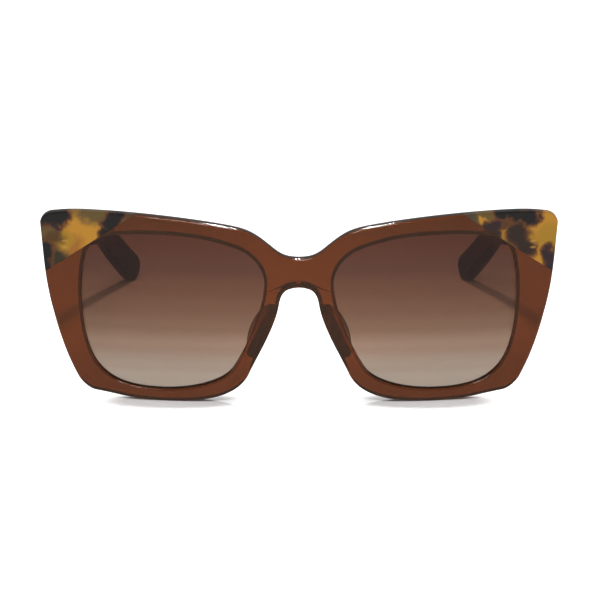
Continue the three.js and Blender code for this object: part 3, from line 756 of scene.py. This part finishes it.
half_front = cut_at_seam(half_rim.copy(), False)
inlay = bend_round_face(cut_at_seam(half_rim.copy(), True))
half_rim.free()
bmesh.ops.mirror(half_front, geom=half_front.verts[:] + half_front.edges[:] + half_front.faces[:],
                 matrix=Matrix.Identity(4), merge_dist=1e-4, axis="X")
bmesh.ops.remove_doubles(half_front, verts=half_front.verts, dist=1e-4)
for name, shape in (("front", half_front), ("inlay", inlay)):
    print(name, "is closed:", all(len(e.link_faces) == 2 for e in shape.edges))
make_piece(bend_round_face(half_front), "rim_front", brown_acetate, "front",
           ["front"])

# %% [markdown]
# ## Pockets for the hinges
# The hinge halves are pressed into pockets while the acetate is warm. A Boolean takes a box
# out of a finished piece, and its result is kept as the piece's own mesh.

# %% Helper that takes boxes out of a piece
def box_mesh(low, high):
    bm = bmesh.new()
    size = Matrix.Diagonal((*(high - low), 1))
    bmesh.ops.create_cube(bm, size=1, matrix=Matrix.Translation((low + high) / 2) @ size)
    return bm


def carved(bm, boxes):
    """A new bmesh with the boxes taken out."""
    subject = bpy.data.objects.new("subject", bpy.data.meshes.new("subject"))
    bmesh.ops.recalc_face_normals(bm, faces=bm.faces)
    bm.to_mesh(subject.data)
    bm.free()
    bpy.context.scene.collection.objects.link(subject)
    cutters = []
    for low, high in boxes:
        block = box_mesh(low, high)
        cutter = bpy.data.objects.new("cutter", bpy.data.meshes.new("cutter"))
        block.to_mesh(cutter.data)
        block.free()
        bpy.context.scene.collection.objects.link(cutter)
        cutters.append(cutter)
        modifier = subject.modifiers.new("pocket", "BOOLEAN")
        modifier.object = cutter
        modifier.solver = "EXACT"
    bpy.context.view_layer.update()
    result = bmesh.new()
    result.from_object(subject, bpy.context.evaluated_depsgraph_get())
    for leftover in [subject, *cutters]:
        bpy.data.meshes.remove(leftover.data)
    return result


# %% Press the front hinges into the inlays
PRESS_GAP = 0.05 * MM
PRONG_DEPTH = 1.3 * MM
PRONG_HALF_WIDTH = 0.85 * MM
PRONG_HALF_HEIGHT = 1.2 * MM
leaf_low, leaf_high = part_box("front_hinge_left")
leaf_middle = (leaf_low + leaf_high) / 2
ease = Vector((PRESS_GAP,) * 3)
behind = Vector((0, 20 * MM, 0))
leaf_pocket = (leaf_low + Vector((0, PRONG_DEPTH, 0)) - ease, leaf_high + behind + ease)
prong_reach = Vector((PRONG_HALF_WIDTH, 0, PRONG_HALF_HEIGHT)) + ease
prong_slot = (
    Vector((leaf_middle.x, leaf_low.y, leaf_middle.z)) - prong_reach,
    Vector((leaf_middle.x, leaf_high.y, leaf_middle.z)) + prong_reach,
)
inlay = carved(inlay, [leaf_pocket, prong_slot])
for side, suffix in ((1, "left"), (-1, "right")):
    shape = inlay.copy() if side == 1 else mirrored(inlay)
    make_piece(shape, "inlay_tortoise_" + suffix, tortoise[side], "front",
               ["corner_inlay_" + suffix])
inlay.free()

# %% [markdown]
# ## The lenses
# A lens is a thin shell with a V edge that springs into the groove. It is bent to the front's
# curve, with a slight crown of its own. It is walked from the middle of its front, over the
# edge, to the middle of its back.

# %% Make the lenses
LENS_CROWN = 0.5
LENS_POINTS = 128
LENS_SHARES = (0.02, 0.25, 0.5, 0.75, 0.92, 1.0)
lens_depth = (THICKNESS - LENS_THICKNESS) / 2
lens_angles = [-2 * math.pi * i / LENS_POINTS for i in range(LENS_POINTS)]
lens_face = [opening_point(a) - opening_out(a) * SPRING_GAP for a in lens_angles]
lens_edge = [opening_point(a) + opening_out(a) * GROOVE_DEPTH for a in lens_angles]


def lens_ring(share, depth):
    crown = LENS_CROWN * (1 - share * share)
    spots = [eye.lerp(p, share) for p in lens_face]
    return [(p.x, depth - crown, p.y) for p in spots]


lens_back = lens_depth + LENS_THICKNESS
lens_rings = [lens_ring(s, lens_depth) for s in LENS_SHARES]
lens_rings += [[(p.x, THICKNESS / 2, p.y) for p in lens_edge]]
lens_rings += [lens_ring(s, lens_back) for s in LENS_SHARES[::-1]]
lens_shape = mesh_from_rings(lens_rings, False)
for face in lens_shape.faces:
    on_edge = any(abs(v.co.y - THICKNESS / 2) < 1e-4 for v in face.verts)
    face.material_index = int(on_edge)      # the ground V is the second material
bend_round_face(lens_shape)
for side, suffix in ((1, "left"), (-1, "right")):
    shape = lens_shape.copy() if side == 1 else mirrored(lens_shape)
    lens = make_piece(shape, "sun_lens_" + suffix, gradient_lens, "front", ["lens_" + suffix])
    lens.data.materials.append(shaded_ground_edge)
lens_shape.free()

# %% [markdown]
# ## The nose pads
# Each pad is a small fin of the same acetate, glued behind the nose side of the rim and opened
# towards the back so that it lies along the nose. Its outline is filled, pulled to its
# thickness and rounded with a bevel, then turned into place and cut flat where it is glued.

# %% Make the nose pads
PAD_HEIGHT = 17.0
PAD_DEPTH = 6.0
PAD_THICKNESS = 2.6
PAD_SPLAY = math.radians(24)
PAD_INSET = 0.6         # from the nose edge out into the rim, in mm
PAD_NOSE_SHARE = 0.23   # how much of its thickness lies on the nose's side
PAD_ROUND = 1.0
GLUE_GAP = 0.05
pad_half = PAD_HEIGHT / 2
pad_knots = [
    (-3.0, -pad_half, 0, 0, 1.0),
    (0, -pad_half, 0, 1.0, 2.5),
    (PAD_DEPTH, -pad_half * 0.1, 90, 4.0, 4.5),
    (0, pad_half, 168, 3.0, 1.0),
    (-3.0, pad_half, 180, 1.0, 0),
]
pad_outline = smooth_line(pad_knots, (2, 10, 12, 2), False)
nose_top = Vector((INNER - 4.2, up(0.559)))
nose_low = Vector((INNER + 4.5, up(0.109)))
nose_lean = math.atan2(nose_low.x - nose_top.x, nose_top.y - nose_low.y)
pad_z = up(0.2) + pad_half * math.cos(nose_lean)
down_nose = (nose_top.y - pad_z) / (nose_top.y - nose_low.y)
pad_x = nose_top.x + (nose_low.x - nose_top.x) * down_nose + PAD_INSET


def skin_y(x, depth):
    """Where the curved front lies at x, in mm from the outer skin's foremost line."""
    return FACE_RADIUS - math.sqrt((FACE_RADIUS - depth) ** 2 - x * x)


pad = bmesh.new()
corners = [pad.verts.new((-PAD_THICKNESS * PAD_NOSE_SHARE, p.x, p.y)) for p in pad_outline]
pad.faces.new(corners)
pulled = bmesh.ops.extrude_face_region(pad, geom=pad.faces[:])
top_verts = [v for v in pulled["geom"] if isinstance(v, bmesh.types.BMVert)]
bmesh.ops.translate(pad, vec=(PAD_THICKNESS, 0, 0), verts=top_verts)
outline_edges = [e for e in pad.edges if abs(e.verts[0].co.x - e.verts[1].co.x) < 1e-6]
bmesh.ops.bevel(pad, geom=outline_edges, offset=PAD_ROUND, offset_type="OFFSET", segments=4,
                profile=0.5, affect="EDGES", material=-1)
turn = (Matrix.Translation((pad_x, skin_y(pad_x, THICKNESS), pad_z))
        @ Matrix.Rotation(-nose_lean, 4, "Y") @ Matrix.Rotation(-PAD_SPLAY, 4, "Z"))
bmesh.ops.transform(pad, matrix=turn, verts=pad.verts)
glue_normal = Vector((-pad_x, FACE_RADIUS, 0)).normalized()
glue_point = Vector((pad_x, skin_y(pad_x, THICKNESS) + GLUE_GAP, 0))
cut = bmesh.ops.bisect_plane(pad, geom=pad.verts[:] + pad.edges[:] + pad.faces[:], dist=1e-5,
                             plane_co=glue_point, plane_no=glue_normal, clear_inner=True)
glued_rim = [e for e in cut["geom_cut"] if isinstance(e, bmesh.types.BMEdge)]
bmesh.ops.holes_fill(pad, edges=glued_rim, sides=0)
bmesh.ops.scale(pad, vec=(MM, MM, MM), verts=pad.verts)
bmesh.ops.translate(pad, vec=(0, cad_low.y, 0), verts=pad.verts)
for side, suffix in ((1, "left"), (-1, "right")):
    shape = pad.copy() if side == 1 else mirrored(pad)
    make_piece(shape, "nose_fin_" + suffix, pad_acetate, "front", ["nose_pad_" + suffix],
               50)
pad.free()

# %% [markdown]
# ## The temples
# A temple is milled from a flat strip, bent down behind the ear and in towards the head. Its
# middle line is drawn once from the side and once from above, and a soft-cornered section is
# carried along it, deeper at the hinge, slim in the middle and round at the tip.

# %% The temple's two middle lines
arm_low, arm_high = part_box("temple_left")
fold = next(j for j in frame["record"]["behaviour"]["joints"] if j["name"] == "left_temple_fold")
hinge_y = fold["pos_m"][1] / MM
hinge_z = fold["pos_m"][2] / MM
butt_y = arm_low.y / MM
leaf_end_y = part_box("temple_hinge_left")[1].y / MM
ARM_THICKNESS = 4.0
ROOT_HEIGHT, SHAFT_HEIGHT, TIP_HEIGHT = 12.0, 8.6, 9.0
BEND_REACH = 96.92
BEND_RADIUS = 26.0
slope, drop = math.radians(12), math.radians(36)
TURN_IN, TIP_TURN_IN = 4.0, 15.0        # degrees towards the head, at the ear and at the tip
TURN_START = 0.4        # share of the shaft, and of the tip, before the turn sets in
CURVE_POINTS = 24
TAPER_SHARE = 0.6       # share of the shaft over which it slims
tip_radius = TIP_HEIGHT / 2

root = Vector((butt_y, hinge_z + (hinge_y - butt_y) * math.tan(slope)))
bend_start = root + Vector((math.cos(slope), -math.sin(slope))) * BEND_REACH
bend_centre = bend_start - Vector((math.sin(slope), math.cos(slope))) * BEND_RADIUS
bend_end = bend_centre + Vector((math.sin(drop), math.cos(drop))) * BEND_RADIUS
bend_length = BEND_RADIUS * (drop - slope)
drop_length = (bend_end.y - tip_radius) / math.sin(drop)
arm_length = BEND_REACH + bend_length + drop_length


def side_line(reach):
    """Point and downward angle of the middle line, seen from the side."""
    if reach <= BEND_REACH:
        return root + Vector((math.cos(slope), -math.sin(slope))) * reach, slope
    if reach <= BEND_REACH + bend_length:
        angle = slope + (reach - BEND_REACH) / BEND_RADIUS
        return bend_centre + Vector((math.sin(angle), math.cos(angle))) * BEND_RADIUS, angle
    along = Vector((math.cos(drop), -math.sin(drop)))
    return bend_end + along * (reach - BEND_REACH - bend_length), drop


arm_x = arm_high.x / MM - ARM_THICKNESS / 2
straight_end = Vector((arm_x, leaf_end_y + 1))
ear_y = bend_start.x
end_y = arm_high.y / MM
turn_in, tip_turn_in = math.tan(math.radians(TURN_IN)), math.tan(math.radians(TIP_TURN_IN))
ear_x = arm_x - (ear_y - straight_end.y) * turn_in
lean_in = (ear_x - arm_x) / ((ear_y - straight_end.y) * (1 - TURN_START))
to_ear = Vector((arm_x, straight_end.y + (ear_y - straight_end.y) * TURN_START))
tip_start = (end_y - ear_y) * TURN_START
to_tip = Vector((ear_x + lean_in * tip_start, ear_y + tip_start))
tip_point = Vector((ear_x - (end_y - ear_y) * tip_turn_in, end_y))


def quadratic(a, control, b):
    """A curve with one control point, as the cubic that the operator draws."""
    return interpolate_bezier(a, a.lerp(control, 2 / 3), b.lerp(control, 2 / 3), b, CURVE_POINTS)


plan = [Vector((arm_x, butt_y))] + quadratic(straight_end, to_ear, Vector((ear_x, ear_y)))
plan += quadratic(Vector((ear_x, ear_y)), to_tip, tip_point)[1:]


def plan_x(y):
    return float(np.interp(y, [p.y for p in plan], [p.x for p in plan]))


def smoothstep(value, low, high):
    t = min(max((value - low) / (high - low), 0), 1)
    return t * t * (3 - 2 * t)


print("temple is", round(arm_length + tip_radius, 1), "mm along its middle line")

# %% Carry the section along the temple
SECTION_POINTS = 40
SECTION_POWER = 0.52    # 1 would be an ellipse, near 0 a sharp box
BUTT_STEPS = ((0.0, 0.90), (0.12, 0.955), (0.35, 0.985), (0.8, 1.0))
SHAFT_STEPS = 60
TIP_STEPS = 7
TIP_POWER = 0.35        # how late the tip thins, 1 would be a half circle
LAST_TURN = 88          # degrees, just short of a point, so that the tip can be closed


def arm_ring(reach, half_height, half_thickness):
    centre, angle = side_line(min(reach, arm_length))
    beyond = max(reach - arm_length, 0)
    centre = centre + Vector((math.cos(angle), -math.sin(angle))) * beyond
    ring = []
    for i in range(SECTION_POINTS):
        turn = 2 * math.pi * i / SECTION_POINTS
        c, s = math.cos(turn), math.sin(turn)
        out = math.copysign(abs(c) ** SECTION_POWER, c) * half_thickness
        rise = math.copysign(abs(s) ** SECTION_POWER, s) * half_height
        y = centre.x + math.sin(angle) * rise
        z = centre.y + math.cos(angle) * rise
        ring.append((plan_x(y) + out, y, z))
    return ring


def arm_half_height(reach):
    shaft = ROOT_HEIGHT + (SHAFT_HEIGHT - ROOT_HEIGHT) * smoothstep(reach, 0, BEND_REACH * TAPER_SHARE)
    return (shaft + (TIP_HEIGHT - shaft) * smoothstep(reach, BEND_REACH, arm_length)) / 2


half_arm = ARM_THICKNESS / 2
arm_rings = [arm_ring(r, arm_half_height(r) * k, half_arm * k) for r, k in BUTT_STEPS]
butt_end = BUTT_STEPS[-1][0]
for i in range(1, SHAFT_STEPS + 1):
    reach = butt_end + (arm_length - butt_end) * i / SHAFT_STEPS
    arm_rings.append(arm_ring(reach, arm_half_height(reach), half_arm))
for i in range(1, TIP_STEPS + 1):
    turn = math.radians(LAST_TURN) * i / TIP_STEPS
    reach = arm_length + tip_radius * math.sin(turn)
    half_thick = half_arm * math.cos(turn) ** TIP_POWER
    arm_rings.append(arm_ring(reach, tip_radius * math.cos(turn), half_thick))
arm = mesh_from_rings(arm_rings, False)
bmesh.ops.scale(arm, vec=(MM, MM, MM), verts=arm.verts)

LEAF_THICKNESS = 0.9 * MM
PAST_ARM = 8 * MM       # the cutter reaches this far out of the temple
arm_leaf_low, arm_leaf_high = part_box("temple_hinge_left")
recess_x = arm_leaf_high.x - LEAF_THICKNESS - PAST_ARM
recess_low = Vector((recess_x, arm_leaf_low.y - PAST_ARM, arm_leaf_low.z)) - ease
recess = (recess_low, arm_leaf_high + ease)
arm = carved(arm, [recess])
for side, suffix in ((1, "left"), (-1, "right")):
    shape = arm.copy() if side == 1 else mirrored(arm)
    make_piece(shape, "arm_" + suffix, dark_acetate, suffix + "_temple", ["temple_" + suffix])
arm.free()

# %% [markdown]
# ## Hinges, screws and core wires
# The hinge halves and screws already have their true shapes. A stamped and tumbled hinge has
# no sharp edge, so each is copied, its triangles are joined into whole faces and a fine bevel
# breaks the edges. The core wires lie inside the dark temples and only need their metal.

# %% Soften the metal pieces
EDGE_BREAK = 0.07 * MM


def softened(node):
    bm = bmesh.new()
    bm.from_mesh(frame["nodes"][node].data)
    bmesh.ops.remove_doubles(bm, verts=bm.verts, dist=1e-7)
    bmesh.ops.dissolve_limit(bm, angle_limit=math.radians(1), verts=bm.verts, edges=bm.edges)
    creases = [e for e in bm.edges if e.is_manifold and e.calc_face_angle() > math.radians(40)]
    bmesh.ops.bevel(bm, geom=creases, offset=EDGE_BREAK, offset_type="OFFSET", segments=2,
                    profile=0.5, affect="EDGES", material=-1, clamp_overlap=True)
    return bm


metal_pieces = [
    ("front_hinge", "front", hinge_gold, "hinge_metal"),
    ("temple_hinge", "temple", hinge_gold, "hinge_metal"),
    ("hinge_screw", "front", screw_steel, "screw_metal"),
]
for suffix in ("left", "right"):
    for node, carrier, material, slot in metal_pieces:
        body = "front" if carrier == "front" else suffix + "_temple"
        make_piece(softened(f"{node}_{suffix}"), f"polished_{node}_{suffix}", material, body,
                   [f"{node}_{suffix}"], 30)
    core = frame["nodes"]["temple_core_" + suffix]
    core.data.materials.clear()
    core.data.materials.append(core_wire)
